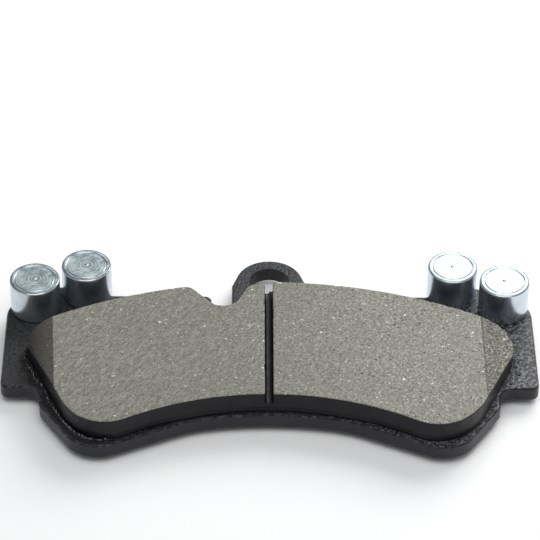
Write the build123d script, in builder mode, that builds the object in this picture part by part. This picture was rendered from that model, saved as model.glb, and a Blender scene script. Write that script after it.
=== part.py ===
"""Disc brake pad for a large fixed caliper: backing plate, friction block, shim pack and damper weights.

Frame: X along the pad's length, +Y outwards from the disc's axis (towards the eyelet),
+Z towards the disc. The origin is under the middle of the pad, in the plane of the
shim pin heads that it lies on. Lengths are in millimetres.
"""

import os
from math import cos, radians, sin, sqrt, tan

from build123d import *

# Overall build-up, from the pin heads upwards
PIN_HEAD_HEIGHT = 1.5
SHIM_SKIN_T = 0.2
SHIM_CORE_T = 0.6
PLATE_T = 5.5
UNDERLAYER_T = 2.0
FRICTION_HEIGHT = 8.6  # working face above the plate, underlayer included

SHIM_OUTER_Z = PIN_HEAD_HEIGHT
SHIM_CORE_Z = SHIM_OUTER_Z + SHIM_SKIN_T
SHIM_INNER_Z = SHIM_CORE_Z + SHIM_CORE_T
BACK_Z = SHIM_INNER_Z + SHIM_SKIN_T
FRONT_Z = BACK_Z + PLATE_T
FRICTION_Z = FRONT_Z + UNDERLAYER_T
WORKING_Z = FRONT_Z + FRICTION_HEIGHT

# Backing plate outline, right-hand half; the left half is its mirror image
PAD_LENGTH = 193.0
EAR_X = PAD_LENGTH / 2
TOP_EDGE_Y = 30.7
EAR_LOW_Y = -20.4
PLATE_CORNERS = (  # x, y, corner radius, clockwise from the top edge
    (59.7, TOP_EDGE_Y, 5.0),
    (67.1, 40.35, 6.0),
    (EAR_X, 26.9, 11.5),
    (EAR_X, EAR_LOW_Y, 3.0),
    (82.0, EAR_LOW_Y, 5.0),
    (82.0, -30.0, 4.0),
    (65.65, -54.85, 13.3),
)
ARCH_R = 130.0  # concave lower edge between the two lobes
ARCH_X = 28.0
ARCH_TOP_Y = -34.9
ARCH_BLEND_R = 50.0
FRONT_EDGE_R = 0.8
BACK_EDGE_R = 0.5

# Eyelet that the retaining pin passes through
EYELET_R = 12.4
EYELET_Y = 39.0
NECK_FLARE = 19.0  # degrees that each flank leans outwards
NECK_FOOT_R = 8.0
EYELET_HOLE = (16.5, 14.9)  # height and width of the oval hole
EYELET_HOLE_Y = 38.3

# Pocket for a wear sensor, to the left of the eyelet
NOTCH_LEFT_X = -21.4
NOTCH_RIGHT_X = -13.9
NOTCH_FLOOR_Y = 17.5
NOTCH_CORNER_R = 2.5
REBATE_LEFT_X = -23.4
REBATE_RIGHT_X = -12.0
REBATE_DEPTH = 2.0

# Friction block outline; its left end stops a little shorter than its right end
CROWN_R = 165.0
CROWN_TOP_Y = 28.7
LOBE_END_X = 57.4
LOBE_BLEND_R = 15.0
SOLE_R = 105.5
SOLE_TOP_Y = -33.2
FRICTION_ENDS = (  # side, height and radius of the tip's corner, start and middle of the lobe's arc
    (1, 0.75, 15.8, (76.3, -35.1), (71.2, -42.6)),
    (-1, 1.8, 12.5, (74.2, -35.1), (69.3, -42.9)),
)

# Scoop in the friction block, in front of the sensor pocket
SCOOP_LEFT = (-31.0, 27.9)
SCOOP_FLOOR = (-15.2, 9.9)
SCOOP_RIGHT = (-7.5, 27.2)
SCOOP_FLOOR_R = 6.3
SCOOP_SHOULDER_R = 4.0
LAND_Y = 27.6  # top edge between the scoop and the wiping slot

# Wiping slot and the bevels at both ends of the working face
SLOT_X = -0.3
SLOT_WIDTH = 2.9
SLOT_DEPTH = 4.7
BEVEL_LENGTH = 13.0
BEVEL_DROP = 2.1
BEVELS = ((1, 76.4, 0.0), (-1, 78.0, 3.6))  # side, where it starts, skew in degrees

# Moulding keys: round holes in the plate that the underlayer fills
KEY_HOLE_R = 4.5
KEY_HOLES = ((47.0, 6.0), (-47.0, 6.0), (57.0, -31.0), (-57.0, -31.0))

# Shim outline, right-hand half
SHIM_CROWN_R = 158.0
SHIM_CROWN_TOP_Y = 21.4
SHIM_CROWN_END_X = 52.2
SHIM_CORNERS = (  # x, y, corner radius
    (53.4, 9.9, 1.0),
    (59.5, 9.6, 3.0),
    (88.6, -2.9, 2.5),
    (88.6, -11.1, 3.0),
)
SHIM_LOBE_START = (72.8, -34.7)
SHIM_LOBE_MID = (58.0, -43.9)
SHIM_LOBE_END_X = 45.0
SHIM_SOLE_R = 122.0
SHIM_SOLE_TOP_Y = -33.2

# Pins that hold the shim pack, pressed into blind holes in the plate's back
PINS = ((-82.4, -8.0), (-26.5, -5.0), (-25.3, -31.2), (25.3, -31.2), (26.5, -5.0), (82.4, -8.0))
PIN_HEAD_R = 2.9
PIN_CROWN_R = 1.9
PIN_DIMPLE_R = 0.8
PIN_DIMPLE_DEPTH = 0.25
PIN_SHANK_R = 2.0
PIN_SHANK_LENGTH = 4.5
PIN_CLEARANCE = 0.1

# Damper weights, riveted through the ears
WEIGHTS = ((-86.0, 23.7), (-67.4, 31.7), (67.4, 31.7), (86.0, 23.7))
WEIGHT_R = 9.15
WEIGHT_HEIGHT = 13.7
WEIGHT_EDGE = 0.4
WEIGHT_GROOVE_R = 7.3
WEIGHT_GROOVE_WIDTH = 0.7
WEIGHT_GROOVE_DEPTH = 0.35
WEIGHT_PIP_R = 0.75
WEIGHT_PIP_HEIGHT = 0.3
RIVET_SHANK_R = 2.75
RIVET_HEAD_R = 3.45
RIVET_HEAD_HEIGHT = 0.8
RIVET_DIMPLE_R = 2.0

NEAR = 0.05  # how close a vertex has to be to count as a named corner


def arc_y(radius, top_y, x):
    """Height at x of an arc about the pad's centre line whose highest point is top_y."""
    return top_y - radius + sqrt(radius**2 - x**2)


def arc_x(radius, top_y, y):
    """Distance from the centre line at which the same arc reaches height y."""
    return sqrt(radius**2 - (y - top_y + radius) ** 2)


def corners_at(sketch, x, y):
    """The sketch's vertices at (x, y) and at its mirror image across the centre line."""
    return sketch.vertices().filter_by(lambda v: abs(abs(v.X) - x) < NEAR and abs(v.Y - y) < NEAR)


def save(part, name):
    """Label a finished piece and write it as its own STEP file."""
    part.label = name
    export_step(part, f"parts/{name}.step")


def upright_plane(x, y):
    """Drawing plane for turned pieces: local x is the radius and local y is the height."""
    return Plane(origin=(x, y, 0), x_dir=(1, 0, 0), z_dir=(0, -1, 0))


os.makedirs("parts", exist_ok=True)

# ---------------------------------------------------------------- outlines

arch_end = (ARCH_X, arc_y(ARCH_R, ARCH_TOP_Y, ARCH_X))
neck_touch = (
    EYELET_R * cos(radians(NECK_FLARE)),
    EYELET_Y + EYELET_R * sin(radians(NECK_FLARE)),
)
neck_foot_x = neck_touch[0] + (neck_touch[1] - TOP_EDGE_Y) * tan(radians(NECK_FLARE))

with BuildSketch() as plate_outline:
    with BuildLine():
        Polyline((0, TOP_EDGE_Y), *[(x, y) for x, y, _ in PLATE_CORNERS], arch_end)
        ThreePointArc(arch_end, (ARCH_X / 2, arc_y(ARCH_R, ARCH_TOP_Y, ARCH_X / 2)), (0, ARCH_TOP_Y))
        mirror(about=Plane.YZ)
    make_face()
    for corner_x, corner_y, corner_r in PLATE_CORNERS:
        fillet(corners_at(plate_outline, corner_x, corner_y), corner_r)
    fillet(corners_at(plate_outline, *arch_end), ARCH_BLEND_R)
    with BuildLine():
        Polyline((0, EYELET_Y), neck_touch, (neck_foot_x, TOP_EDGE_Y), (0, TOP_EDGE_Y))
        mirror(about=Plane.YZ)
    make_face()
    with Locations((0, EYELET_Y)):
        Circle(EYELET_R)
    fillet(corners_at(plate_outline, neck_foot_x, TOP_EDGE_Y).sort_by(Axis.X)[-1], NECK_FOOT_R)
    with Locations((NOTCH_LEFT_X, NOTCH_FLOOR_Y)):
        Rectangle(
            NOTCH_RIGHT_X - NOTCH_LEFT_X,
            EYELET_Y,
            align=(Align.MIN, Align.MIN),
            mode=Mode.SUBTRACT,
        )
    fillet(corners_at(plate_outline, -NOTCH_LEFT_X, TOP_EDGE_Y), NOTCH_CORNER_R)

lobe_end_y = arc_y(SOLE_R, SOLE_TOP_Y, LOBE_END_X)

with BuildSketch() as friction_outline:
    with BuildLine():
        for side, tip_y, _, lobe_start, lobe_mid in FRICTION_ENDS:
            tip_x = arc_x(CROWN_R, CROWN_TOP_Y, tip_y)
            crown_mid = (side * tip_x / 2, arc_y(CROWN_R, CROWN_TOP_Y, tip_x / 2))
            sole_mid = (side * LOBE_END_X / 2, arc_y(SOLE_R, SOLE_TOP_Y, LOBE_END_X / 2))
            tip = (side * tip_x, tip_y)
            start = (side * lobe_start[0], lobe_start[1])
            middle = (side * lobe_mid[0], lobe_mid[1])
            end = (side * LOBE_END_X, lobe_end_y)
            ThreePointArc((0, CROWN_TOP_Y), crown_mid, tip)
            Line(tip, start)
            ThreePointArc(start, middle, end)
            ThreePointArc(end, sole_mid, (0, SOLE_TOP_Y))
    make_face()
    for _, tip_y, tip_r, _, _ in FRICTION_ENDS:
        fillet(corners_at(friction_outline, arc_x(CROWN_R, CROWN_TOP_Y, tip_y), tip_y), tip_r)
    fillet(corners_at(friction_outline, LOBE_END_X, lobe_end_y), LOBE_BLEND_R)
    with BuildLine():
        FilletPolyline(SCOOP_LEFT, SCOOP_FLOOR, SCOOP_RIGHT, radius=SCOOP_FLOOR_R)
        Polyline(SCOOP_RIGHT, (SLOT_X, LAND_Y), (SLOT_X, TOP_EDGE_Y), (SCOOP_LEFT[0], TOP_EDGE_Y), SCOOP_LEFT)
    make_face(mode=Mode.SUBTRACT)
    scoop_shoulders = friction_outline.vertices().filter_by(
        lambda v: SCOOP_LEFT[0] < v.X < SLOT_X - 1 and v.Y > SCOOP_RIGHT[1] - 2
    )
    fillet(scoop_shoulders, SCOOP_SHOULDER_R)

shim_crown_end = (SHIM_CROWN_END_X, arc_y(SHIM_CROWN_R, SHIM_CROWN_TOP_Y, SHIM_CROWN_END_X))
shim_lobe_end = (SHIM_LOBE_END_X, arc_y(SHIM_SOLE_R, SHIM_SOLE_TOP_Y, SHIM_LOBE_END_X))

with BuildSketch() as shim_outline:
    with BuildLine():
        ThreePointArc(
            (0, SHIM_CROWN_TOP_Y),
            (SHIM_CROWN_END_X / 2, arc_y(SHIM_CROWN_R, SHIM_CROWN_TOP_Y, SHIM_CROWN_END_X / 2)),
            shim_crown_end,
        )
        Polyline(shim_crown_end, *[(x, y) for x, y, _ in SHIM_CORNERS], SHIM_LOBE_START)
        ThreePointArc(SHIM_LOBE_START, SHIM_LOBE_MID, shim_lobe_end)
        ThreePointArc(
            shim_lobe_end,
            (SHIM_LOBE_END_X / 2, arc_y(SHIM_SOLE_R, SHIM_SOLE_TOP_Y, SHIM_LOBE_END_X / 2)),
            (0, SHIM_SOLE_TOP_Y),
        )
        mirror(about=Plane.YZ)
    make_face()
    for corner_x, corner_y, corner_r in SHIM_CORNERS:
        fillet(corners_at(shim_outline, corner_x, corner_y), corner_r)

# ---------------------------------------------------------------- backing plate

with BuildPart() as backing_plate:
    with BuildSketch(Plane.XY.offset(BACK_Z)):
        add(plate_outline.sketch)
        with Locations((0, EYELET_HOLE_Y)):
            SlotOverall(*EYELET_HOLE, rotation=90, mode=Mode.SUBTRACT)
    extrude(amount=PLATE_T)
    with BuildSketch(Plane.XY.offset(BACK_Z)):
        with Locations((REBATE_LEFT_X, NOTCH_FLOOR_Y)):
            Rectangle(REBATE_RIGHT_X - REBATE_LEFT_X, EYELET_Y, align=(Align.MIN, Align.MIN))
    extrude(amount=REBATE_DEPTH, mode=Mode.SUBTRACT)
    fillet(backing_plate.faces().sort_by(Axis.Z)[-1].outer_wire().edges(), FRONT_EDGE_R)
    fillet(backing_plate.faces().sort_by(Axis.Z)[0].outer_wire().edges(), BACK_EDGE_R)
    with Locations(*[(x, y, FRONT_Z) for x, y in WEIGHTS]):
        Hole(RIVET_SHANK_R, depth=PLATE_T)
    with Locations(*[(x, y, FRONT_Z) for x, y in KEY_HOLES]):
        Hole(KEY_HOLE_R, depth=PLATE_T)
    with BuildSketch(Plane.XY.offset(BACK_Z)):
        with Locations(*PINS):
            Circle(PIN_SHANK_R)
    extrude(amount=PIN_SHANK_LENGTH - SHIM_CORE_T - 2 * SHIM_SKIN_T, mode=Mode.SUBTRACT)

save(backing_plate.part, "backing_plate")

# ---------------------------------------------------------------- friction material

with BuildPart() as underlayer:
    with BuildSketch(Plane.XY.offset(FRONT_Z)):
        add(friction_outline.sketch)
    extrude(amount=UNDERLAYER_T)
    with BuildSketch(Plane.XY.offset(BACK_Z)):
        with Locations(*KEY_HOLES):
            Circle(KEY_HOLE_R)
    extrude(amount=PLATE_T)

save(underlayer.part, "underlayer")

with BuildPart() as friction_block:
    with BuildSketch(Plane.XY.offset(FRICTION_Z)):
        add(friction_outline.sketch)
    extrude(amount=WORKING_Z - FRICTION_Z)
    with BuildSketch(Plane.XY.offset(WORKING_Z)):
        with Locations((SLOT_X, 0)):
            Rectangle(SLOT_WIDTH, PAD_LENGTH)
    extrude(amount=-SLOT_DEPTH, mode=Mode.SUBTRACT)
    for side, bevel_x, skew in BEVELS:
        outwards = Vector(side, 0, 0).rotate(Axis.Z, skew)
        across = Vector(0, -side, 0).rotate(Axis.Z, skew)
        with BuildSketch(Plane(origin=(side * bevel_x, 0, WORKING_Z), x_dir=outwards, z_dir=across)):
            with BuildLine():
                Polyline((0, 0), (BEVEL_LENGTH, 0), (BEVEL_LENGTH, -BEVEL_DROP), close=True)
            make_face()
        extrude(amount=PAD_LENGTH / 2, both=True, mode=Mode.SUBTRACT)

save(friction_block.part, "friction_block")

# ---------------------------------------------------------------- shim pack

for layer_name, layer_z, layer_t in (
    ("shim_outer_skin", SHIM_OUTER_Z, SHIM_SKIN_T),
    ("shim_core", SHIM_CORE_Z, SHIM_CORE_T),
    ("shim_inner_skin", SHIM_INNER_Z, SHIM_SKIN_T),
):
    with BuildPart() as shim_layer:
        with BuildSketch(Plane.XY.offset(layer_z)):
            add(shim_outline.sketch)
            with Locations(*PINS):
                Circle(PIN_SHANK_R + PIN_CLEARANCE, mode=Mode.SUBTRACT)
        extrude(amount=layer_t)
    save(shim_layer.part, layer_name)

for number, (pin_x, pin_y) in enumerate(PINS, start=1):
    with BuildPart() as shim_pin:
        with BuildSketch(upright_plane(pin_x, pin_y)):
            with BuildLine():
                Polyline(
                    (0, PIN_DIMPLE_DEPTH),
                    (PIN_DIMPLE_R, 0),
                    (PIN_CROWN_R, 0),
                    (PIN_HEAD_R, PIN_HEAD_HEIGHT * 0.7),
                    (PIN_HEAD_R, PIN_HEAD_HEIGHT),
                    (PIN_SHANK_R, PIN_HEAD_HEIGHT),
                    (PIN_SHANK_R, PIN_HEAD_HEIGHT + PIN_SHANK_LENGTH),
                    (0, PIN_HEAD_HEIGHT + PIN_SHANK_LENGTH),
                    close=True,
                )
            make_face()
        revolve(axis=Axis((pin_x, pin_y, 0), (0, 0, 1)))
    save(shim_pin.part, f"shim_pin_{number}")

# ---------------------------------------------------------------- damper weights

weight_top = FRONT_Z + WEIGHT_HEIGHT
groove_floor = weight_top - WEIGHT_GROOVE_DEPTH
tail_z = BACK_Z - RIVET_HEAD_HEIGHT

for number, (weight_x, weight_y) in enumerate(WEIGHTS, start=1):
    with BuildPart() as damper_weight:
        with BuildSketch(upright_plane(weight_x, weight_y)):
            with BuildLine():
                Polyline(
                    (0, tail_z + RIVET_HEAD_HEIGHT / 2),
                    (RIVET_DIMPLE_R, tail_z),
                    (RIVET_HEAD_R - RIVET_HEAD_HEIGHT / 2, tail_z),
                    (RIVET_HEAD_R, BACK_Z - RIVET_HEAD_HEIGHT / 2),
                    (RIVET_HEAD_R, BACK_Z),
                    (RIVET_SHANK_R, BACK_Z),
                    (RIVET_SHANK_R, FRONT_Z),
                    (WEIGHT_R - WEIGHT_EDGE, FRONT_Z),
                    (WEIGHT_R, FRONT_Z + WEIGHT_EDGE),
                    (WEIGHT_R, weight_top - WEIGHT_EDGE),
                    (WEIGHT_R - WEIGHT_EDGE, weight_top),
                    (WEIGHT_GROOVE_R + WEIGHT_GROOVE_WIDTH / 2, weight_top),
                    (WEIGHT_GROOVE_R, groove_floor),
                    (WEIGHT_GROOVE_R - WEIGHT_GROOVE_WIDTH / 2, weight_top),
                    (WEIGHT_PIP_R, weight_top),
                    (WEIGHT_PIP_R / 2, weight_top + WEIGHT_PIP_HEIGHT),
                    (0, weight_top + WEIGHT_PIP_HEIGHT),
                    close=True,
                )
            make_face()
        revolve(axis=Axis((weight_x, weight_y, 0), (0, 0, 1)))
    save(damper_weight.part, f"damper_weight_{number}")
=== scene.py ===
"""Looks of a disc brake pad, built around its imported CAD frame.

The friction block, its underlayer, the shim pins and the damper weights get finer meshes that
stand for their CAD nodes. The backing plate and the shim layers keep their CAD meshes. Two pieces
are extra trim without a CAD node: the bond resin squeezed out at the block's foot, and its crumbs.
Blender's unit is the metre. Lengths are in millimetres and times MM, but the studio's are in metres.
X runs along the pad, Y outwards from the disc's axis and Z towards the disc.
"""

import math
import random

import bmesh
import bpy
from mathutils import Matrix, Vector, noise
from mathutils.bvhtree import BVHTree


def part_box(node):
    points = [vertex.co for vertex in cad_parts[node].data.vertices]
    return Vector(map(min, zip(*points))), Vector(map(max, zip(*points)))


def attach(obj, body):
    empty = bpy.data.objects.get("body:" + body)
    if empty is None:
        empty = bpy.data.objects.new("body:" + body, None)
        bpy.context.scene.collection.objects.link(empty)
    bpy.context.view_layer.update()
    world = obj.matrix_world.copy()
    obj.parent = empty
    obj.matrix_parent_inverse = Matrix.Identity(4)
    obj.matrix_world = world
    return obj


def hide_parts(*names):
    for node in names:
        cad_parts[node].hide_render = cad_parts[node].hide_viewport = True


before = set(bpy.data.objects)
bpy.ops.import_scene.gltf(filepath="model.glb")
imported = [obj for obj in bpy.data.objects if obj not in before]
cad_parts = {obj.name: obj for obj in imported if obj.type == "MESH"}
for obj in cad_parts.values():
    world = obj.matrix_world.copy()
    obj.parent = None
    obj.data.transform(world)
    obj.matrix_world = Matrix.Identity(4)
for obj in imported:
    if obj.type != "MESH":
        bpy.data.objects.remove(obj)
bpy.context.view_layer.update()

MM = 0.001

# ---------------------------------------------------------------- levels and places from the frame

plate_low, plate_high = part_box("backing_plate")
block_low, block_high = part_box("friction_block")
BACK_Z = plate_low.z / MM
FRONT_Z = plate_high.z / MM
FRICTION_Z = block_low.z / MM
WORKING_Z = block_high.z / MM
WEIGHT_NAMES = [name for name in sorted(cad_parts) if name.startswith("damper_weight")]
PIN_NAMES = [name for name in sorted(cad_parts) if name.startswith("shim_pin")]

# ---------------------------------------------------------------- sizes in millimetres

VOXEL = 0.42  # face size of the friction block's mesh
LEFT_FOLD_X = -78.0  # where the left bevel starts, and how far it is skewed
LEFT_FOLD_SKEW = math.radians(3.6)
RIGHT_FOLD_X = 76.4
BEVEL_DROP = 2.1
LOWEST_BEVEL_Z = WORKING_Z - BEVEL_DROP - 1.0  # everything ground lies above this level

CHIP_DEPTH = 0.35
CHIPS_PER_MM = 0.3
CHIP_RAGS_PER_MM = 1.1
CHIP_THRESHOLD = 0.34  # the noise above which the edge is chipped
CHIP_GAIN = 2.0
PIT_DEPTH = 0.14
PITS_PER_MM = 1.1
PIT_THRESHOLD = 0.32
PIT_RANGE = 0.4
PIT_SHIFT = Vector((40, 0, 0))  # keeps the pits from repeating the chips' pattern
LEVEL_LEAN = 0.93  # a normal's upward lean on the working face, and the least on its edge
EDGE_LEAN = 0.2

WEIGHT_EDGE = 0.4
WEIGHT_GROOVE_R = 7.3
WEIGHT_GROOVE_WIDTH = 0.5
WEIGHT_GROOVE_DEPTH = 0.25
RIM_LINE_R = 8.65  # a fine dark line of painted shade just inside the weight's edge
WEIGHT_PIP_R = 0.75
WEIGHT_PIP_HEIGHT = 0.3
TURNING_PITCH = 1.35
TURNING_DEPTH = 0.012
TURNING_POINTS = 62
WEIGHT_EASE = 0.14  # how far the corners of a turned profile are eased
PIP_EASE = 0.12
RIVET_SHANK_R = 2.75
RIVET_HEAD_R = 3.45
RIVET_HEAD_HEIGHT = 0.8
RIVET_DIMPLE_R = 2.0

PIN_HEAD_HEIGHT = 1.5
PIN_CROWN_R = 1.9
PIN_DIMPLE_R = 0.8
PIN_DIMPLE_DEPTH = 0.25
PIN_SHANK_R = 2.0
PIN_EASE = 0.25

FLASH_STEP = 0.35  # along the block's foot
FLASH_ROWS = 16
FOOT_SMOOTHING = 3  # steps each way over which the foot's direction is taken
FLASH_SINK = 0.15  # how far the flash reaches into the plate and the block
FLASH_LEAST = 0.12  # narrower flash than this is left out
FLASH_LEFT_X = -45.0  # where the pad's left end begins, for the flash, and the length it takes
FLASH_LEFT_BLEND = 14.0
FLASH_TURN_Y = 8.0  # where the narrow flash of the top edge begins to widen, and the length it takes
FLASH_TURN_BLEND = 16.0
FLASH_TOP_WIDTH = 0.35
FLASH_SOLE_GAIN = 0.85  # added to the width along the lower edge, and again at the left end
FLASH_LEFT_GAIN = 2.8
FLASH_FILM = 0.07  # heights of the thin film, the fillet at the wall, the lumps and the ridge
FLASH_FILLET = 0.12
FLASH_LUMPS = 0.2
FLASH_RIDGE = 0.16
FLASH_LEFT_RIDGE = 1.05
PLATE_EDGE_MARGIN = 0.7  # trim keeps this far from the plate's rounded edge
PLATE_EDGE_DROP = 0.05  # the front counts as flat down to this far below its highest level
REACH_STEP = 0.1

CRUMB_COUNT = 260
CRUMB_SEED = 11
CRUMB_TOP_Y = 14.0  # crumbs lie where the foot is below this Y and further out than this X
CRUMB_START_X = 34.0
CRUMB_LEAST_AWAY = 0.6
CRUMB_SPREAD = 3.4  # on the right; on the left they spread half as far
CRUMB_RADII = (0.28, 0.6)
CRUMB_SQUASH = (0.5, 0.8)

LATHE_SEGMENTS = 128
EASE_STEPS = 4
SHARP_ANGLE = math.radians(38)  # edges that turn further than this are shaded sharp
TINY = 1e-6

# Stretches along X over which a surface changes; the change is complete at the second value
# grey dust on the plate, rising into a painted highlight towards the right
DUST_AND_HIGHLIGHT_X = (-15, 82)
# on the flash: dust, with a painted highlight growing towards the right
FLASH_DUST_AND_HIGHLIGHT_X = (0, 75)
COARSE_X = (-30, 60)
SLANTING_X = (10, -40)
# painted light: the working face grows paler towards the right
PAINTED_LIGHT_X = (-10, 80)

# ---------------------------------------------------------------- studio, in metres and degrees

FLOOR_HALF = 6.0
SURROUND_COLOUR = (0.96, 0.985, 1.0, 1.0)
SURROUND_STRENGTH = 0.32
CAMERA_PLACE = Vector((-0.0097, -0.8211, 0.7222))
CAMERA_AZIMUTH = -0.66
CAMERA_ELEVATION = 39.48
CAMERA_ROLL = 0.68
CAMERA_LENS = 200.0  # focal length and sensor width in millimetres
CAMERA_SENSOR = 36.0


# ---------------------------------------------------------------- shader graphs


class Graph:
    """A material's node tree. Its methods add nodes and return the output to link onwards."""

    def __init__(self, name):
        self.material = bpy.data.materials.new(name)
        self.material.use_nodes = True
        self.tree = self.material.node_tree
        self.shader = self.tree.nodes["Principled BSDF"]
        self.coords = self.scale_vector(self.node("ShaderNodeTexCoord").outputs["Object"], 1 / MM)

    def node(self, kind, **settings):
        made = self.tree.nodes.new(kind)
        for key, value in settings.items():
            setattr(made, key, value)
        return made

    def put(self, socket, value):
        """Links an output to the socket, or sets the socket to a constant."""
        if isinstance(value, bpy.types.NodeSocket):
            self.tree.links.new(value, socket)
        else:
            socket.default_value = value

    def math(self, operation, a, b=0.0):
        made = self.node("ShaderNodeMath", operation=operation)
        self.put(made.inputs[0], a)
        self.put(made.inputs[1], b)
        return made.outputs[0]

    def times(self, a, b):
        return self.math("MULTIPLY", a, b)

    def plus(self, a, b):
        return self.math("ADD", a, b)

    def distance(self, value, centre):
        """How far a value is from a centre, either way."""
        return self.math("ABSOLUTE", self.math("SUBTRACT", value, centre))

    def scale_vector(self, vector, factor):
        made = self.node("ShaderNodeVectorMath", operation="SCALE")
        self.put(made.inputs[0], vector)
        made.inputs["Scale"].default_value = factor
        return made.outputs[0]

    def stretched(self, lengths, turn=0.0):
        """Coordinates whose unit has these lengths in millimetres, the first along the turn."""
        made = self.node("ShaderNodeMapping", vector_type="TEXTURE")
        self.put(made.inputs["Vector"], self.coords)
        made.inputs["Rotation"].default_value = (0, 0, turn)
        made.inputs["Scale"].default_value = lengths
        return made.outputs[0]

    def split(self, vector):
        made = self.node("ShaderNodeSeparateXYZ")
        self.put(made.inputs[0], vector)
        return made.outputs[0], made.outputs[1], made.outputs[2]

    def normal_z(self):
        """The surface's own upward lean, from -1 to 1, in the part's frame."""
        return self.split(self.node("ShaderNodeTexCoord").outputs["Normal"])[2]

    def noise(self, per_mm, detail=3.0, roughness=0.55, vector=None):
        made = self.node("ShaderNodeTexNoise")
        self.put(made.inputs["Vector"], self.coords if vector is None else vector)
        made.inputs["Scale"].default_value = per_mm
        made.inputs["Detail"].default_value = detail
        made.inputs["Roughness"].default_value = roughness
        return made.outputs["Fac"]

    def step(self, value, low, high, to_low=0.0, to_high=1.0):
        """A smooth step of value from low to high."""
        made = self.node("ShaderNodeMapRange", interpolation_type="SMOOTHSTEP")
        self.put(made.inputs["Value"], value)
        made.inputs["From Min"].default_value = low
        made.inputs["From Max"].default_value = high
        made.inputs["To Min"].default_value = to_low
        made.inputs["To Max"].default_value = to_high
        return made.outputs["Result"]

    def grains(self, per_mm, share, size):
        """Uneven specks: about this share of the cells of a random pattern holds one. A noise bends
        the pattern sideways, so that no speck is round."""
        bend = 1.1 / per_mm
        warp = self.node("ShaderNodeTexNoise")
        self.put(warp.inputs["Vector"], self.coords)
        warp.inputs["Scale"].default_value = per_mm * 1.6
        warp.inputs["Detail"].default_value = 1.0
        warped = self.node("ShaderNodeVectorMath", operation="MULTIPLY_ADD")
        self.put(warped.inputs[0], warp.outputs["Color"])
        warped.inputs[1].default_value = (bend, bend, 0.0)
        self.put(warped.inputs[2], self.coords)
        made = self.node("ShaderNodeTexVoronoi", feature="F1")
        self.put(made.inputs["Vector"], warped.outputs[0])
        made.inputs["Scale"].default_value = per_mm
        pick, strength, _ = self.split(made.outputs["Color"])
        chosen = self.math("GREATER_THAN", pick, 1 - share)
        chosen = self.times(chosen, self.step(strength, 0.0, 1.0, 0.4, 1.0))
        inside = self.step(made.outputs["Distance"], size, size * 0.5)
        return self.times(chosen, inside)

    def fibres(self, degrees):
        """Short pale strokes that lie at this angle to the pad's length."""
        along = self.stretched((1.6, 0.42, 1.0), math.radians(degrees))
        return self.step(self.noise(1.0, detail=2.0, vector=along), 0.59, 0.69)

    def mix(self, factor, first, second):
        made = self.node("ShaderNodeMix", data_type="RGBA")
        inputs = [socket for socket in made.inputs if socket.type == "RGBA"]
        self.put(made.inputs[0], factor)
        self.put(inputs[0], first)
        self.put(inputs[1], second)
        return next(socket for socket in made.outputs if socket.type == "RGBA")

    def blend(self, factor, first, second):
        """A number that runs from first to second."""
        made = self.node("ShaderNodeMix", data_type="FLOAT")
        self.put(made.inputs[0], factor)
        self.put(made.inputs[2], first)
        self.put(made.inputs[3], second)
        return made.outputs[0]

    def bump(self, height, depth_mm, normal=None):
        """A bump whose full height is depth_mm."""
        made = self.node("ShaderNodeBump")
        self.put(made.inputs["Height"], height)
        made.inputs["Strength"].default_value = 1.0
        made.inputs["Distance"].default_value = depth_mm * MM
        if normal is not None:
            self.put(made.inputs["Normal"], normal)
        return made.outputs["Normal"]

    def set(self, **values):
        """Sets or links the shader's own inputs, named with _ for a space."""
        for name, value in values.items():
            self.put(self.shader.inputs[name.replace("_", " ")], value)
        return self.material


def grey(value, warmth=0.0):
    """A linear grey, a little warmer above 0 and cooler below."""
    return (value * (1 + warmth), value, value * (1 - warmth), 1.0)


def powder_coat():
    """Black powder coat with coarse orange peel, pits, and rounded edges rubbed and chipped. The pits
    and chips are darkened with painted shade.
    Grey dust speckles its level faces; its rise towards the right is a painted highlight."""
    deep_black = (0.008, 0.0085, 0.0105, 1)
    soft_black = (0.0135, 0.014, 0.0165, 1)
    dust_and_highlight_grey = (0.135, 0.14, 0.153, 1)
    g = Graph("powder_coat")
    x, _, _ = g.split(g.coords)
    peel = g.noise(1.05, detail=3.0, roughness=0.65)
    speckle = g.noise(0.85, detail=2.0, roughness=0.6, vector=g.stretched((1.3, 1.0, 1.0), 0.6))
    mottle = g.noise(0.09, detail=3.0)
    lean = g.math("ABSOLUTE", g.normal_z())
    rounded_edge = g.times(g.step(lean, 0.1, 0.45), g.step(lean, 0.995, 0.9))
    edge_noise = g.noise(0.5, detail=4.0, roughness=0.65)
    rubbed_and_highlight = g.times(rounded_edge, g.step(edge_noise, 0.53, 0.62))
    chipped = g.times(rounded_edge, g.step(edge_noise, 0.48, 0.41))
    pits = g.grains(0.6, 0.3, 0.3)
    # dust on the level faces, plus a painted highlight that grows towards the right
    dust_and_highlight = g.times(g.blend(g.step(x, *DUST_AND_HIGHLIGHT_X), 0.12, 1.0), g.step(lean, 0.7, 0.95))
    dust_and_highlight = g.times(dust_and_highlight, g.step(speckle, 0.48, 0.6))
    colour = g.mix(g.step(mottle, 0.35, 0.65), deep_black, soft_black)
    colour = g.mix(dust_and_highlight, colour, dust_and_highlight_grey)
    colour = g.mix(g.times(rubbed_and_highlight, 0.6), colour, grey(0.09))
    # painted shade: pits and chips coloured near black inside their recesses
    colour = g.mix(g.math("MAXIMUM", chipped, g.times(pits, 0.9)), colour, grey(0.002))
    roughness = g.plus(g.step(mottle, 0.3, 0.7, 0.28, 0.34), g.times(peel, 0.12))
    peel_share = g.step(lean, 0.7, 0.95, 0.35, 1.0)
    normal = g.bump(g.times(peel, peel_share), 0.36)
    normal = g.bump(g.plus(pits, chipped), -0.3, normal)
    return g.set(Base_Color=colour, Roughness=roughness, Specular_IOR_Level=0.42, Normal=normal)


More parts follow.
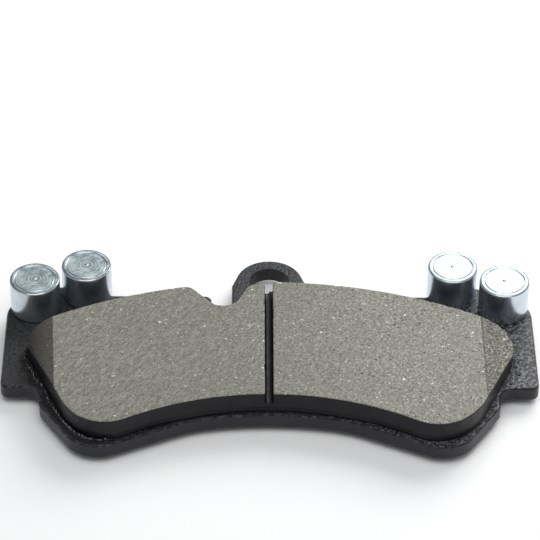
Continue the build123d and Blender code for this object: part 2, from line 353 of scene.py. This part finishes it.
def left_bevel_paint_and_shade(g, x, y):
    """How much the left bevel is darkened, by its leftover black paint and by painted shade where it
    tilts away from the light: none inside the fold, most at the tip.
    """
    outwards = g.plus(x, g.times(y, math.tan(LEFT_FOLD_SKEW)))
    on_bevel = g.step(outwards, LEFT_FOLD_X, LEFT_FOLD_X - 0.5)
    # leftover black paint, and painted shade where the bevel tilts away from the light
    kept_paint_and_shade = g.step(outwards, LEFT_FOLD_X - 1.0, LEFT_FOLD_X - 10.0, 0.74, 0.97)
    return g.times(on_bevel, kept_paint_and_shade)


def right_bevel_wear(g, x, colour):
    """The right bevel's coarse dark grain and the fine dark line along its fold."""
    coarse_dark = (0.07, 0.065, 0.054, 1)
    fold_dark = (0.075, 0.07, 0.06, 1)
    on_bevel = g.step(x, RIGHT_FOLD_X, RIGHT_FOLD_X + 0.6)
    coarse = g.step(g.noise(1.1, detail=3.0, roughness=0.65), 0.42, 0.58, 0.0, 0.85)
    colour = g.mix(g.times(on_bevel, coarse), colour, coarse_dark)
    off_fold = g.distance(x, RIGHT_FOLD_X + 0.5)
    return g.mix(g.step(off_fold, 0.55, 0.15, 0.0, 0.5), colour, fold_dark)


def ground_face(g):
    """Colour, roughness, metal share and height of the ground friction material: warm grey, with a
    fine grain that slants most on the left, bright metal flecks, and pale fibres, pale grains and
    dark grains that strengthen towards the right. Painted light makes it paler towards the right.
    The right bevel is coarser, and the left one still carries most of its paint, darkened further
    by painted shade."""
    dark_stone = (0.113, 0.109, 0.093, 1)
    pale_stone = (0.312, 0.305, 0.267, 1)
    cloud_shade = (0.16, 0.155, 0.132, 1)
    painted_light_pale = (0.4, 0.392, 0.35, 1)
    fibre_pale = (0.48, 0.47, 0.43, 1)
    grain_pale = (0.52, 0.51, 0.47, 1)
    grain_dark = (0.055, 0.05, 0.043, 1)
    bright_metal = (0.8, 0.79, 0.76, 1)
    bevel_paint_and_shade = (0.017, 0.0155, 0.014, 1)
    x, y, _ = g.split(g.coords)
    grain = g.noise(1.15, detail=4.0, roughness=0.72)
    slant = g.noise(1.0, detail=3.0, vector=g.stretched((2.6, 0.62, 1.0), math.radians(55)))
    cloud = g.noise(0.07, detail=3.0)
    rightwards = g.step(x, *COARSE_X)
    crossing = g.times(g.math("MAXIMUM", g.fibres(-40), g.fibres(105)), rightwards)
    fibres = g.math("MAXIMUM", g.fibres(50), crossing)
    dark_grains = g.grains(0.8, 0.32, 0.4)
    pale_grains = g.grains(0.75, 0.34, 0.34)
    flecks = g.math("MAXIMUM", g.grains(0.62, 0.08, 0.28), g.grains(1.05, 0.06, 0.36))
    slanting = g.step(x, *SLANTING_X, 0.15, 0.5)
    tone = g.blend(slanting, g.step(grain, 0.34, 0.66), g.step(slant, 0.34, 0.66))
    colour = g.mix(tone, dark_stone, pale_stone)
    colour = g.mix(g.step(cloud, 0.35, 0.65, 0.0, 0.14), colour, cloud_shade)
    # painted light: the working face made paler towards the right
    colour = g.mix(g.step(x, *PAINTED_LIGHT_X, 0.0, 0.14), colour, painted_light_pale)
    colour = g.mix(g.times(fibres, g.blend(rightwards, 0.4, 0.8)), colour, fibre_pale)
    colour = g.mix(g.times(pale_grains, g.blend(rightwards, 0.3, 0.7)), colour, grain_pale)
    colour = g.mix(g.times(dark_grains, g.blend(rightwards, 0.4, 0.85)), colour, grain_dark)
    colour = right_bevel_wear(g, x, colour)
    colour = g.mix(g.times(flecks, 0.85), colour, bright_metal)
    # the left bevel: its leftover paint, darkened further with painted shade
    colour = g.mix(left_bevel_paint_and_shade(g, x, y), colour, bevel_paint_and_shade)
    roughness = g.blend(flecks, 0.8, 0.38)
    height = g.plus(grain, g.times(slant, 0.5))
    height = g.math("SUBTRACT", height, g.times(dark_grains, 0.8))
    return colour, roughness, g.times(flecks, 0.35), height


def friction_material():
    """The friction block: ground on its working face, satin black paint everywhere else."""
    deep_paint = (0.0055, 0.0057, 0.0068, 1)
    soft_paint = (0.0095, 0.0098, 0.0115, 1)
    g = Graph("friction_material")
    _, _, z = g.split(g.coords)
    upwards = g.step(g.normal_z(), 0.5, 0.72)
    ground = g.times(upwards, g.step(z, LOWEST_BEVEL_Z - 0.2, LOWEST_BEVEL_Z))
    face_colour, face_roughness, face_metal, face_height = ground_face(g)
    cloud = g.noise(0.12, detail=3.0)
    streak = g.noise(0.5, detail=3.0, vector=g.stretched((1.0, 1.0, 4.0)))
    peel = g.noise(2.4, detail=3.0)
    paint = g.mix(g.step(cloud, 0.3, 0.7), deep_paint, soft_paint)
    height = g.blend(ground, g.times(peel, 0.35), face_height)
    return g.set(
        Base_Color=g.mix(ground, paint, face_colour),
        Roughness=g.blend(ground, g.step(streak, 0.3, 0.7, 0.3, 0.44), face_roughness),
        Metallic=g.times(ground, face_metal),
        Specular_IOR_Level=0.24,
        Normal=g.bump(height, 0.11),
    )


def flash_coat():
    """Bond resin squeezed out at the block's foot: glossy black, greyer and granular to the right,
    where the grey is partly dust and partly painted highlight. Its sunken grains are darkened with
    painted shade, and its highest crests carry a painted grey highlight."""
    resin_dust_and_highlight_grey = (0.13, 0.133, 0.142, 1)
    crest_highlight_grey = (0.24, 0.24, 0.25, 1)
    g = Graph("flash_coat")
    x, _, z = g.split(g.coords)
    lumps = g.noise(1.3, detail=4.0, roughness=0.7)
    grains = g.grains(0.85, 0.4, 0.36)
    # partly dust and partly painted highlight: the flash turns greyer towards the right
    resin_dust_and_highlight = g.step(x, *FLASH_DUST_AND_HIGHLIGHT_X, 0.1, 1.0)
    colour = g.mix(g.times(resin_dust_and_highlight, g.step(lumps, 0.44, 0.58)), grey(0.004), resin_dust_and_highlight_grey)
    # painted shade: the sunken grains coloured near black
    colour = g.mix(g.times(grains, 0.8), colour, grey(0.002))
    crest = g.step(z, FRONT_Z + 0.42, FRONT_Z + 0.72)
    # painted highlight: the flash's highest crests coloured a paler grey
    rubbed_and_highlight = g.times(crest, g.step(g.noise(0.9, detail=3.0), 0.47, 0.56))
    colour = g.mix(g.times(rubbed_and_highlight, 0.85), colour, crest_highlight_grey)
    roughness = g.plus(g.step(lumps, 0.3, 0.7, 0.18, 0.34), g.times(resin_dust_and_highlight, 0.08))
    normal = g.bump(grains, -0.3, g.bump(lumps, 0.6))
    return g.set(Base_Color=colour, Roughness=roughness, Specular_IOR_Level=0.35, Normal=normal)


def faced_top(g, radius, flat, rings, blotch, scuff):
    """Colour of a weight's faced top: blotched and scuffed zinc, its turning rings drawn as pale and
    dark bands of painted highlight and shade, and painted shade in the groove, in a fine line just
    inside its edge and on the centre pip."""
    dull_zinc = (0.31, 0.375, 0.39, 1)
    bright_zinc = (0.61, 0.70, 0.725, 1)
    scuffed_zinc = (0.29, 0.345, 0.365, 1)
    ring_highlight = (0.73, 0.79, 0.80, 1)
    ring_shade = (0.225, 0.28, 0.305, 1)
    groove_painted_shade = (0.04, 0.05, 0.055, 1)
    rim_painted_shade = (0.05, 0.06, 0.065, 1)
    pip_painted_shade = (0.2, 0.25, 0.27, 1)
    off_groove = g.distance(radius, WEIGHT_GROOVE_R)
    groove = g.step(off_groove, WEIGHT_GROOVE_WIDTH * 0.8, WEIGHT_GROOVE_WIDTH * 0.4)
    # painted shade: a fine dark line just inside the top's edge
    off_rim = g.distance(radius, RIM_LINE_R)
    rim_shade_line = g.times(g.step(g.normal_z(), 0.6, 0.8), g.step(off_rim, 0.36, 0.16))
    # painted shade that mutes the centre pip's highlight
    pip = g.step(radius, WEIGHT_PIP_R + 0.15, WEIGHT_PIP_R - 0.1, 0.0, 0.6)
    top = g.mix(g.step(blotch, 0.36, 0.64), dull_zinc, bright_zinc)
    top = g.mix(g.step(scuff, 0.48, 0.66, 0.0, 0.3), top, scuffed_zinc)
    # painted highlight and shade: the turning rings drawn as pale and dark bands
    top = g.mix(g.times(g.step(rings, 0.0, 0.9), 0.5), top, ring_highlight)
    top = g.mix(g.times(g.step(rings, 0.0, -0.9), 0.4), top, ring_shade)
    # painted shade in the groove
    top = g.mix(g.times(g.times(flat, groove), 0.85), top, groove_painted_shade)
    top = g.mix(g.times(rim_shade_line, 0.75), top, rim_painted_shade)
    return g.mix(pip, top, pip_painted_shade)


def turned_zinc():
    """Zinc-plated turned steel. Its coordinates are centred on the piece's own axis."""
    side_dull = (0.55, 0.61, 0.66, 1)
    side_bright = (0.63, 0.69, 0.74, 1)
    g = Graph("turned_zinc")
    x, y, _ = g.split(g.coords)
    radius = g.math("SQRT", g.plus(g.times(x, x), g.times(y, y)))
    flat = g.step(g.math("ABSOLUTE", g.normal_z()), 0.75, 0.95)
    blotch = g.noise(0.3, detail=3.0, roughness=0.62)
    scuff = g.noise(1.3, detail=3.0, roughness=0.7)
    wobble = g.plus(g.times(radius, 5.2), g.times(blotch, 4.5))
    fading = g.step(radius, 7.2, 1.5, 0.2, 1.0)
    rings = g.times(g.math("SINE", wobble), g.times(fading, flat))
    side = g.mix(g.step(blotch, 0.35, 0.65), side_dull, side_bright)
    rough_top = g.plus(g.step(blotch, 0.3, 0.7, 0.34, 0.46), g.times(scuff, 0.1))
    rough_side = g.plus(g.times(scuff, 0.08), 0.2)
    height = g.plus(g.times(rings, 0.35), g.times(scuff, flat))
    return g.set(
        Base_Color=g.mix(flat, side, faced_top(g, radius, flat, rings, blotch, scuff)),
        Metallic=g.blend(flat, 0.93, 1.0),
        Roughness=g.blend(flat, rough_side, rough_top),
        Normal=g.bump(height, 0.02),
    )


def blackened_steel():
    """Blackened shim pins, rubbed a little on their crowns."""
    g = Graph("blackened_steel")
    lean = g.math("ABSOLUTE", g.normal_z())
    wear = g.noise(1.4, detail=5.0, roughness=0.65)
    rubbed_and_highlight = g.times(g.step(lean, 0.5, 0.9), g.step(wear, 0.5, 0.7))
    colour = g.mix(g.times(rubbed_and_highlight, 0.5), grey(0.02, -0.05), grey(0.2))
    roughness = g.step(wear, 0.3, 0.7, 0.2, 0.4)
    return g.set(Base_Color=colour, Metallic=0.75, Roughness=roughness, Normal=g.bump(wear, 0.03))


def rubber_skin():
    """Satin black rubber coat on the shim, with a faint roller grain and a few scratches."""
    g = Graph("rubber_skin")
    fine = g.noise(1.8, detail=3.0)
    cloud = g.noise(0.05, detail=4.0)
    scratch_field = g.noise(0.35, detail=6.0, vector=g.stretched((20.0, 0.6, 1.0), math.radians(24)))
    scratches = g.step(scratch_field, 0.66, 0.71)
    colour = g.mix(g.step(cloud, 0.3, 0.7), grey(0.011, -0.09), grey(0.019, -0.09))
    colour = g.mix(g.times(scratches, 0.22), colour, grey(0.08, -0.04))
    roughness = g.plus(g.step(cloud, 0.3, 0.7, 0.33, 0.45), g.times(fine, 0.08))
    normal = g.bump(fine, 0.02)
    return g.set(Base_Color=colour, Roughness=roughness, Specular_IOR_Level=0.5, Normal=normal)


def sheared_steel():
    """The shim's steel core, bare where its edge was cut."""
    g = Graph("sheared_steel")
    streak = g.noise(1.2, detail=4.0, vector=g.stretched((1.0, 1.0, 0.17)))
    colour = g.mix(streak, grey(0.3, -0.03), grey(0.62, -0.02))
    roughness = g.step(streak, 0.3, 0.7, 0.25, 0.45)
    return g.set(Base_Color=colour, Metallic=1.0, Roughness=roughness, Normal=g.bump(streak, 0.04))


def pale_floor():
    """Plain near-white studio floor with a barely visible tooth."""
    g = Graph("pale_floor")
    cloud = g.noise(0.01, detail=3.0)
    colour = g.mix(cloud, grey(0.93), grey(0.96))
    return g.set(Base_Color=colour, Roughness=0.7, Specular_IOR_Level=0.2, Normal=g.bump(cloud, 0.05))


# ---------------------------------------------------------------- mesh helpers


def link(name, mesh, material, sharpen=True):
    """An object in the scene around a mesh, shaded smooth, across sharp corners too if asked."""
    mesh.materials.append(material)
    mesh.shade_smooth()
    if sharpen:
        mesh.set_sharp_from_angle(angle=SHARP_ANGLE)
    made = bpy.data.objects.new(name, mesh)
    bpy.context.scene.collection.objects.link(made)
    return made


def install(piece, slot, *nodes):
    """The piece rides on the pad and stands for the CAD nodes, which are hidden. The slot is not used.
    """
    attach(piece, "root")
    if nodes:
        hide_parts(*nodes)


def dress(node, material):
    """Puts a material on a CAD node that stays visible."""
    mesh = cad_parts[node].data
    mesh.materials.clear()
    mesh.materials.append(material)


def rounded(points, reach):
    """The polyline with each inner corner eased by a short curve, which starts and ends at most
    this reach from the corner."""
    eased = [Vector(points[0])]
    for before, corner, after in zip(points, points[1:], points[2:]):
        before, corner, after = Vector(before), Vector(corner), Vector(after)
        into = min(reach, (corner - before).length * 0.45)
        out_of = min(reach, (after - corner).length * 0.45)
        start = corner + (before - corner).normalized() * into
        end = corner + (after - corner).normalized() * out_of
        for k in range(EASE_STEPS + 1):
            t = k / EASE_STEPS
            eased.append(start.lerp(corner, t).lerp(corner.lerp(end, t), t))
    eased.append(Vector(points[-1]))
    return eased


def lathe(name, x, y, profile, material):
    """A turned piece about an upright axis at (x, y). The profile is (radius, height) pairs from
    the axis back to the axis, and the object's origin lies on the axis."""
    verts, rings, faces = [], [], []
    for radius, height in profile:
        if radius < TINY:
            rings.append([len(verts)] * LATHE_SEGMENTS)
            verts.append((0, 0, height * MM))
            continue
        rings.append(list(range(len(verts), len(verts) + LATHE_SEGMENTS)))
        for k in range(LATHE_SEGMENTS):
            turn = 2 * math.pi * k / LATHE_SEGMENTS
            verts.append((radius * math.cos(turn) * MM, radius * math.sin(turn) * MM, height * MM))
    for lower, upper in zip(rings, rings[1:]):
        for k in range(LATHE_SEGMENTS):
            after = (k + 1) % LATHE_SEGMENTS
            corners = [lower[k], lower[after], upper[after], upper[k]]
            faces.append(list(dict.fromkeys(corners)))
    mesh = bpy.data.meshes.new(name)
    mesh.from_pydata(verts, [], faces)
    piece = link(name, mesh, material)
    piece.location = (x * MM, y * MM, 0)
    return piece


def axis_of(node):
    """The axis of a turned CAD node, its radius and its lowest and highest level, in millimetres."""
    low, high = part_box(node)
    middle = (low + high) / 2 / MM
    return middle.x, middle.y, (high.x - low.x) / 2 / MM, low.z / MM, high.z / MM


# ---------------------------------------------------------------- turned pieces


def turning_rings(top):
    """The weight's top from its groove inwards: shallow rings left by the facing tool."""
    outer = WEIGHT_GROOVE_R - WEIGHT_GROOVE_WIDTH / 2
    points = []
    for k in range(TURNING_POINTS + 1):
        radius = outer + (WEIGHT_PIP_R - outer) * k / TURNING_POINTS
        depth = TURNING_DEPTH * (0.5 - 0.5 * math.cos(2 * math.pi * (outer - radius) / TURNING_PITCH))
        points.append((radius, top - depth))
    return points


def damper_weight(node, material):
    """A damper weight with its rivet: dished tail at the back, grooved and faced top."""
    x, y, radius, low, high = axis_of(node)
    top = high - WEIGHT_PIP_HEIGHT
    body = [
        (0, low + RIVET_HEAD_HEIGHT / 2),
        (RIVET_DIMPLE_R, low),
        (RIVET_HEAD_R - RIVET_HEAD_HEIGHT / 2, low),
        (RIVET_HEAD_R, BACK_Z - RIVET_HEAD_HEIGHT / 2),
        (RIVET_HEAD_R, BACK_Z),
        (RIVET_SHANK_R, BACK_Z),
        (RIVET_SHANK_R, FRONT_Z),
        (radius - WEIGHT_EDGE, FRONT_Z),
        (radius, FRONT_Z + WEIGHT_EDGE),
        (radius, top - WEIGHT_EDGE),
        (radius - WEIGHT_EDGE, top),
        (WEIGHT_GROOVE_R + WEIGHT_GROOVE_WIDTH / 2, top),
        (WEIGHT_GROOVE_R, top - WEIGHT_GROOVE_DEPTH),
        (WEIGHT_GROOVE_R - WEIGHT_GROOVE_WIDTH / 2, top),
    ]
    pip = [
        (WEIGHT_PIP_R, top),
        (WEIGHT_PIP_R / 2, high),
        (0, high),
    ]
    profile = rounded(body, WEIGHT_EASE) + turning_rings(top)[1:-1] + rounded(pip, PIP_EASE)
    piece = lathe(f"weight_{node[-1]}", x, y, profile, material)
    install(piece, "weight_zinc", node)


def shim_pin(node, material):
    """A shim pin: dished, bevelled crown and a plain shank."""
    x, y, radius, low, high = axis_of(node)
    profile = [
        (0, low + PIN_DIMPLE_DEPTH),
        (PIN_DIMPLE_R, low),
        (PIN_CROWN_R, low),
        (radius, low + PIN_HEAD_HEIGHT * 0.7),
        (radius, low + PIN_HEAD_HEIGHT),
        (PIN_SHANK_R, low + PIN_HEAD_HEIGHT),
        (PIN_SHANK_R, high),
        (0, high),
    ]
    piece = lathe(f"pin_{node[-1]}", x, y, rounded(profile, PIN_EASE), material)
    install(piece, "pin_black", node)


# ---------------------------------------------------------------- friction block


def voxel_skin(nodes, size):
    """One closed mesh of small even faces around several CAD nodes."""
    joined = bmesh.new()
    for node in nodes:
        joined.from_mesh(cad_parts[node].data)
    carrier = bpy.data.objects.new("carrier", bpy.data.meshes.new("carrier"))
    joined.to_mesh(carrier.data)
    joined.free()
    bpy.context.scene.collection.objects.link(carrier)
    remesh = carrier.modifiers.new("Remesh", "REMESH")
    remesh.mode = "VOXEL"
    remesh.voxel_size = size
    skin = bmesh.new()
    skin.from_object(carrier, bpy.context.evaluated_depsgraph_get())
    bpy.data.objects.remove(carrier)
    return skin


def half_of(skin, name, level, keep_upper):
    """The part of a closed mesh above or below a level, closed again with a flat face."""
    part = skin.copy()
    cut = bmesh.ops.bisect_plane(
        part,
        geom=part.verts[:] + part.edges[:] + part.faces[:],
        dist=TINY,
        plane_co=(0, 0, level),
        plane_no=(0, 0, 1),
        clear_outer=not keep_upper,
        clear_inner=keep_upper,
    )
    rim = [item for item in cut["geom_cut"] if isinstance(item, bmesh.types.BMEdge)]
    bmesh.ops.edgenet_fill(part, edges=rim)
    bmesh.ops.recalc_face_normals(part, faces=part.faces)
    mesh = bpy.data.meshes.new(name)
    part.to_mesh(mesh)
    part.free()
    return mesh


def chip(point):
    """How far a chip eats into the ground edge at this point, in millimetres."""
    where = noise.noise(point * CHIPS_PER_MM) + 0.5 * noise.noise(point * CHIP_RAGS_PER_MM)
    return CHIP_DEPTH * max(0.0, where - CHIP_THRESHOLD) * CHIP_GAIN


def pit(point):
    """How deep the working face is pitted at this point, in millimetres."""
    where = noise.noise(point * PITS_PER_MM + PIT_SHIFT)
    return PIT_DEPTH * max(0.0, where - PIT_THRESHOLD) / PIT_RANGE


def weather(mesh):
    """Chips the upper edge and pits the working face. Lower edges and walls stay as they are."""
    places = [vertex.co.copy() for vertex in mesh.vertices]
    normals = [normal.vector.copy() for normal in mesh.vertex_normals]
    for place, normal in zip(places, normals):
        point = place / MM
        if point.z < LOWEST_BEVEL_Z or normal.z < EDGE_LEAN:
            continue
        depth = pit(point) if normal.z > LEVEL_LEAN else chip(point)
        place -= normal * depth * MM
    mesh.vertices.foreach_set("co", [value for place in places for value in place])
    mesh.update()


def friction_pieces(material):
    """The friction block and its underlayer, cut from one skin so that their walls meet."""
    skin = voxel_skin(["friction_block", "underlayer"], VOXEL * MM)
    upper = half_of(skin, "friction_pad", FRICTION_Z * MM, keep_upper=True)
    lower = half_of(skin, "bonding_layer", FRICTION_Z * MM, keep_upper=False)
    skin.free()
    weather(upper)
    install(link("friction_pad", upper, material, sharpen=False), "friction", "friction_block")
    install(link("bonding_layer", lower, material), "bond_coat", "underlayer")


# ---------------------------------------------------------------- bond flash at the block's foot


def block_outline():
    """The friction block's foot as evenly spaced points and outward directions, in millimetres."""
    foot = bmesh.new()
    foot.from_mesh(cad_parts["friction_block"].data)
    bmesh.ops.remove_doubles(foot, verts=foot.verts, dist=TINY)
    downwards = [f for f in foot.faces if f.normal.z < -0.9]
    flat = {f for f in downwards if f.calc_center_median().z / MM < FRICTION_Z + 0.1}
    rim = [e for e in foot.edges if sum(f in flat for f in e.link_faces) == 1]
    beside = {}
    for edge in rim:
        a, b = edge.verts
        beside.setdefault(a, []).append(b)
        beside.setdefault(b, []).append(a)
    start = min(beside, key=lambda v: (round(v.co.y, 6), v.co.x))
    loop = [start, beside[start][0]]
    while True:
        onward = [v for v in beside[loop[-1]] if v is not loop[-2]][0]
        if onward is start:
            break
        loop.append(onward)
    points = [(v.co / MM).xy for v in loop]
    foot.free()
    if sum(a.cross(b) for a, b in zip(points, points[1:] + points[:1])) < 0:
        points.reverse()
    return resample(points)


def resample(points):
    """Evenly spaced points along a closed loop that runs anticlockwise, with outward directions."""
    closed = points + points[:1]
    lengths = [(b - a).length for a, b in zip(closed, closed[1:])]
    count = round(sum(lengths) / FLASH_STEP)
    spacing = sum(lengths) / count
    spots, walked, leg = [], 0.0, 0
    for k in range(count):
        target = k * spacing
        while walked + lengths[leg] < target:
            walked += lengths[leg]
            leg += 1
        spots.append(closed[leg].lerp(closed[leg + 1], (target - walked) / lengths[leg]))
    outwards = []
    for k in range(count):
        along = spots[(k + FOOT_SMOOTHING) % count] - spots[k - FOOT_SMOOTHING]
        outwards.append(Vector((along.y, -along.x)).normalized())
    return spots, outwards


def plate_surface():
    """The backing plate's surface, to cast rays on."""
    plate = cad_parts["backing_plate"].data
    return BVHTree.FromPolygons([v.co for v in plate.vertices], [p.vertices for p in plate.polygons])


def room_on_plate(surface, spot, outwards, wanted):
    """How far the plate's flat front reaches from a spot, up to the wanted width."""
    down = Vector((0, 0, -1))
    reach = 0.0
    while reach < wanted:
        place = (spot + outwards * (reach + PLATE_EDGE_MARGIN)).to_3d() * MM
        place.z = (WORKING_Z + 1) * MM
        hit = surface.ray_cast(place, down)[0]
        if hit is None or hit.z / MM < FRONT_Z - PLATE_EDGE_DROP:
            break
        reach += REACH_STEP
    return min(reach, wanted)


def share_of(value):
    """The value held between 0 and 1."""
    return min(1.0, max(0.0, value))


def leftness(spot):
    """0 along most of the foot, rising to 1 round the pad's left end."""
    return share_of((FLASH_LEFT_X - spot.x) / FLASH_LEFT_BLEND)


def flash_width(spot):
    """How far the flash spreads: widest at the left end, narrow along the top edge."""
    place = spot.to_3d()
    ragged = noise.noise(place * 0.35) + 0.6 * noise.noise(place * 1.3)
    lower = share_of((FLASH_TURN_Y - spot.y) / FLASH_TURN_BLEND)
    plain = FLASH_TOP_WIDTH + lower * (FLASH_SOLE_GAIN + FLASH_LEFT_GAIN * leftness(spot))
    return max(0.15, plain * (1 + 0.4 * ragged))


def flash_height(spot, share, width):
    """The flash's height at a share of its width. A broken ridge runs along it, and round the
    left end the ridge is taller and nearer the wall, with a thin apron outside it."""
    place = spot.to_3d()
    lumps = noise.noise(place * 1.2) + 0.7 * noise.noise(place * 2.9)
    at_left = leftness(spot)
    ridge_share = 0.8 - 0.42 * at_left
    ridge_breadth = 0.14 - 0.06 * at_left
    ridge = math.exp(-(((share - ridge_share) / ridge_breadth) ** 2))
    crest = (FLASH_RIDGE + FLASH_LEFT_RIDGE * at_left) * min(1.0, width / 1.2)
    fillet = FLASH_FILLET * math.exp(-((share / 0.12) ** 2))
    height = FLASH_FILM + crest * ridge * (1 + 0.6 * lumps) + fillet + FLASH_LUMPS * lumps
    return max(0.02, height) * (1.0 - share**8)


def flash_section(spot, outwards, width):
    """One closed cross-section of the flash: over the top and back through the plate."""
    section = []
    for row in range(FLASH_ROWS + 1):
        share = row / FLASH_ROWS
        at = spot + outwards * (width * share)
        section.append((at.x, at.y, FRONT_Z + flash_height(at, share, width)))
    for reach in (width, -FLASH_SINK):
        at = spot + outwards * reach
        section.append((at.x, at.y, FRONT_Z - FLASH_SINK))
    at = spot - outwards * FLASH_SINK
    section.append((at.x, at.y, FRONT_Z + flash_height(spot, 0.0, width)))
    return section


def bond_flash(surface, foot, material):
    """Ragged flash around the block's foot wherever the plate has room for it. It is a tube of
    cross-sections, capped at both ends of each stretch."""
    spots, outwards = foot
    widths = [room_on_plate(surface, s, n, flash_width(s)) for s, n in zip(spots, outwards)]
    verts, faces = [], []
    around = FLASH_ROWS + 4  # points in one cross-section
    before = None
    count = len(spots)
    start = next(k for k in range(count) if widths[k] < FLASH_LEAST)
    for k in range(start, start + count + 1):
        index = k % count
        if widths[index] < FLASH_LEAST:
            if before is not None:
                faces.append(list(range(before, before + around)))
            before = None
            continue
        here = len(verts)
        section = flash_section(spots[index], outwards[index], widths[index])
        verts.extend((x * MM, y * MM, z * MM) for x, y, z in section)
        if before is None:
            faces.append(list(range(here + around - 1, here - 1, -1)))
        else:
            for row in range(around):
                after = (row + 1) % around
                faces.append([before + row, before + after, here + after, here + row])
        before = here
    mesh = bpy.data.meshes.new("bond_flash")
    mesh.from_pydata(verts, [], faces)
    repaired = bmesh.new()
    repaired.from_mesh(mesh)
    bmesh.ops.recalc_face_normals(repaired, faces=repaired.faces)
    repaired.to_mesh(mesh)
    repaired.free()
    install(link("bond_flash", mesh, material), "bond_coat")


def bond_crumbs(surface, foot, material):
    """Beads of resin scattered on the plate beside the block's foot, spread wider at the right."""
    spots, outwards = foot
    lower = [k for k, spot in enumerate(spots) if spot.y < CRUMB_TOP_Y and abs(spot.x) > CRUMB_START_X]
    dice = random.Random(CRUMB_SEED)
    beads = bmesh.new()
    for _ in range(CRUMB_COUNT):
        k = dice.choice(lower)
        radius = dice.uniform(*CRUMB_RADII)
        away = dice.uniform(CRUMB_LEAST_AWAY, CRUMB_SPREAD if spots[k].x > 0 else CRUMB_SPREAD / 2)
        if room_on_plate(surface, spots[k], outwards[k], away + radius) < away + radius:
            continue
        at = spots[k] + outwards[k] * away
        squash = Matrix.Diagonal((radius, radius, radius * dice.uniform(*CRUMB_SQUASH), 1.0))
        turn = Matrix.Rotation(dice.uniform(0, math.tau), 4, "Z")
        place = Matrix.Translation((at.x, at.y, FRONT_Z))
        bmesh.ops.create_icosphere(beads, subdivisions=2, radius=1.0, matrix=place @ turn @ squash)
    bmesh.ops.scale(beads, vec=(MM, MM, MM), verts=beads.verts)
    mesh = bpy.data.meshes.new("bond_crumbs")
    beads.to_mesh(mesh)
    beads.free()
    install(link("bond_crumbs", mesh, material), "bond_coat")


# ---------------------------------------------------------------- studio


def stage_floor(material):
    """A wide plain floor under the pad."""
    half = FLOOR_HALF
    mesh = bpy.data.meshes.new("studio_floor")
    corners = [(-half, -half, 0), (half, -half, 0), (half, half, 0), (-half, half, 0)]
    mesh.from_pydata(corners, [], [(0, 1, 2, 3)])
    link("studio_floor", mesh, material)


def softbox(name, place, target, width, height, radiance):
    """A rectangular lamp that faces its target, with the same radiance all over its face."""
    lamp = bpy.data.lights.new(name, "AREA")
    lamp.shape = "RECTANGLE"
    lamp.size = width
    lamp.size_y = height
    lamp.energy = radiance * math.pi * width * height
    made = bpy.data.objects.new(name, lamp)
    made.location = place
    made.rotation_mode = "QUATERNION"
    made.rotation_quaternion = (Vector(target) - Vector(place)).to_track_quat("-Z", "Y")
    made.visible_camera = False
    bpy.context.scene.collection.objects.link(made)


def studio_light():
    """A large softbox behind and to the right, another overhead, and a pale even surround."""
    softbox(
        "key_softbox",
        place=(0.29, 0.43, 0.40),
        target=(0.02, 0.0, 0.0),
        width=0.5,
        height=0.46,
        radiance=4.8,
    )
    softbox(
        "top_softbox",
        place=(0.0, -0.25, 1.0),
        target=(0.0, 0.0, 0.0),
        width=1.0,
        height=0.9,
        radiance=1.9,
    )
    world = bpy.data.worlds.new("studio_surround")
    world.use_nodes = True
    background = world.node_tree.nodes["Background"]
    background.inputs["Color"].default_value = SURROUND_COLOUR
    background.inputs["Strength"].default_value = SURROUND_STRENGTH
    bpy.context.scene.world = world


def camera():
    """A long lens in front of the pad's lower edge, looking down on the pad at about 40 degrees."""
    azimuth = math.radians(CAMERA_AZIMUTH)
    elevation = math.radians(CAMERA_ELEVATION)
    roll = Matrix.Rotation(math.radians(CAMERA_ROLL), 3, "Z")
    forward = Vector(
        (
            -math.sin(azimuth) * math.cos(elevation),
            math.cos(azimuth) * math.cos(elevation),
            -math.sin(elevation),
        )
    )
    lens = bpy.data.cameras.new("camera")
    lens.lens = CAMERA_LENS
    lens.sensor_width = CAMERA_SENSOR
    lens.clip_start = 0.05
    lens.clip_end = 50.0
    made = bpy.data.objects.new("camera", lens)
    facing = forward.to_track_quat("-Z", "Y").to_matrix() @ roll
    made.matrix_world = Matrix.Translation(CAMERA_PLACE) @ facing.to_4x4()
    bpy.context.scene.collection.objects.link(made)
    bpy.context.scene.camera = made


# ---------------------------------------------------------------- assembly

dress("backing_plate", powder_coat())
skin_material = rubber_skin()
dress("shim_outer_skin", skin_material)
dress("shim_inner_skin", skin_material)
dress("shim_core", sheared_steel())

friction_pieces(friction_material())
plate_front = plate_surface()
block_foot = block_outline()
resin = flash_coat()
bond_flash(plate_front, block_foot, resin)
bond_crumbs(plate_front, block_foot, resin)

zinc = turned_zinc()
for weight_name in WEIGHT_NAMES:
    damper_weight(weight_name, zinc)

black_pin = blackened_steel()
for pin_name in PIN_NAMES:
    shim_pin(pin_name, black_pin)

stage_floor(pale_floor())
studio_light()
camera()
bpy.context.scene.view_settings.view_transform = "Standard"
